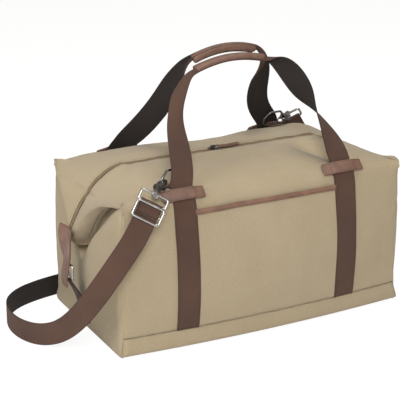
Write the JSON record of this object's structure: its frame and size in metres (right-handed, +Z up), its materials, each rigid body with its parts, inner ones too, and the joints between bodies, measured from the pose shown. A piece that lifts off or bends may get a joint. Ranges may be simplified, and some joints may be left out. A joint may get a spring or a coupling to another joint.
{
  "type": "doctor bag",
  "caption": "Canvas zip-top weekender bag with folded wing ends, leather-wrapped webbing handles and a clip-on shoulder strap.",
  "frame": {"origin": "middle of the bag's footprint on the surface it stands on", "axes": "+X along the bag to its right end, -Y is the front with the slip pocket, +Z up"},
  "size_m": [0.6973, 0.3701, 0.4625],
  "materials": {
    "canvas": "washed cotton canvas, fine plain weave",
    "lining": "thin plain lining cloth",
    "webbing": "thick dark brown webbing",
    "leather": "brown grained leather, stitched edges",
    "zip_tape": "woven zip tape",
    "zip_teeth": "coil zip teeth",
    "dark_metal": "dark nickel plating",
    "bright_metal": "polished nickel plating",
    "board": "stiff base board"
  },
  "bodies": {
    "root": {"back_leg_left": "webbing", "back_leg_right": "webbing", "back_panel": "canvas", "base_board": "board", "base_panel": "canvas", "d_ring_loop_back": "leather", "d_ring_loop_front": "leather", "end_buckle_left": "bright_metal", "end_buckle_right": "bright_metal", "end_panel_left": "canvas", "end_panel_right": "canvas", "end_strap_left": "webbing", "end_strap_right": "webbing", "end_tab_left": "leather", "end_tab_right": "leather", "front_leg_left": "webbing", "front_leg_right": "webbing", "front_panel": "canvas", "front_pocket_panel": "canvas", "handle_tab_back_left": "leather", "handle_tab_back_right": "leather", "handle_tab_front_left": "leather", "handle_tab_front_right": "leather", "lining_body": "lining", "lining_end_left": "lining", "lining_end_right": "lining", "pocket_binding": "leather", "shoulder_strap": "webbing", "strap_adjuster": "bright_metal", "strap_turn_back": "webbing", "strap_turn_front": "webbing", "swivel_loop_back": "bright_metal", "swivel_loop_front": "bright_metal", "zip_chain": "zip_teeth", "zip_tape_back": "zip_tape", "zip_tape_front": "zip_tape"},
    "front_carry": {"front_handle": "webbing", "front_grip": "leather"},
    "back_carry": {"back_handle": "webbing", "back_grip": "leather"},
    "slider": {"zip_slider": "dark_metal", "slider_bail": "dark_metal"},
    "pull": {"puller_link": "dark_metal", "zip_puller": "leather"},
    "front_ring": {"d_ring_front": "dark_metal"},
    "back_ring": {"d_ring_back": "dark_metal"},
    "front_hook": {"hook_body_front": "dark_metal", "gate_pin_front": "dark_metal", "gate_spring_front": "dark_metal"},
    "back_hook": {"hook_body_back": "dark_metal", "gate_pin_back": "dark_metal", "gate_spring_back": "dark_metal"},
    "front_gate": {"hook_gate_front": "dark_metal"},
    "back_gate": {"hook_gate_back": "dark_metal"},
    "left_prong": {"end_prong_left": "bright_metal"},
    "right_prong": {"end_prong_right": "bright_metal"}
  },
  "joints": [
    {"name": "front_handle_swing", "type": "hinge", "parent": "root", "child": "front_carry", "pos_m": [0, -0.1256, 0.27499], "axis": [1, 0, 0], "range_deg": [0, 150]},
    {"name": "back_handle_swing", "type": "hinge", "parent": "root", "child": "back_carry", "pos_m": [0, 0.1256, 0.27499], "axis": [-1, 0, 0], "range_deg": [0, 150]},
    {"name": "zip_slider_travel", "type": "slide", "parent": "root", "child": "slider", "axis": [1, 0, 0], "range_m": [-0.14, 0.19]},
    {"name": "zip_pull_flip", "type": "hinge", "parent": "slider", "child": "pull", "pos_m": [-0.028, 0, 0.2881], "axis": [0, -1, 0], "range_deg": [0, 165]},
    {"name": "front_d_ring_swing", "type": "hinge", "parent": "root", "child": "front_ring", "pos_m": [-0.1565, -0.11277, 0.27364], "axis": [1, 0, 0], "range_deg": [-2, 2]},
    {"name": "back_d_ring_swing", "type": "hinge", "parent": "root", "child": "back_ring", "pos_m": [0.1565, 0.11277, 0.27364], "axis": [-1, 0, 0], "range_deg": [-2, 2]},
    {"name": "front_hook_swivel", "type": "hinge", "parent": "root", "child": "front_hook", "pos_m": [-0.17857, -0.11129, 0.28201], "axis": [-0.6297, -0.7689, -0.111], "range_deg": [-6, 6]},
    {"name": "back_hook_swivel", "type": "hinge", "parent": "root", "child": "back_hook", "pos_m": [0.17857, 0.11129, 0.28201], "axis": [0.6297, 0.7689, -0.111], "range_deg": [-6, 6]},
    {"name": "front_gate_opening", "type": "hinge", "parent": "front_hook", "child": "front_gate", "pos_m": [-0.18438, -0.12857, 0.28149], "axis": [-0.2301, 0.0481, 0.972], "range_deg": [0, 20], "stiffness_Nm_per_rad": 0.02, "springref_deg": -11.46},
    {"name": "back_gate_opening", "type": "hinge", "parent": "back_hook", "child": "back_gate", "pos_m": [0.18438, 0.12857, 0.28149], "axis": [0.2301, -0.0481, 0.972], "range_deg": [0, 20], "stiffness_Nm_per_rad": 0.02, "springref_deg": -11.46},
    {"name": "left_prong_lift", "type": "hinge", "parent": "root", "child": "left_prong", "pos_m": [-0.3, 0, 0.099], "axis": [0, -1, 0], "range_deg": [0, 80]},
    {"name": "right_prong_lift", "type": "hinge", "parent": "root", "child": "right_prong", "pos_m": [0.3, 0, 0.099], "axis": [0, 1, 0], "range_deg": [0, 80]}
  ]
}
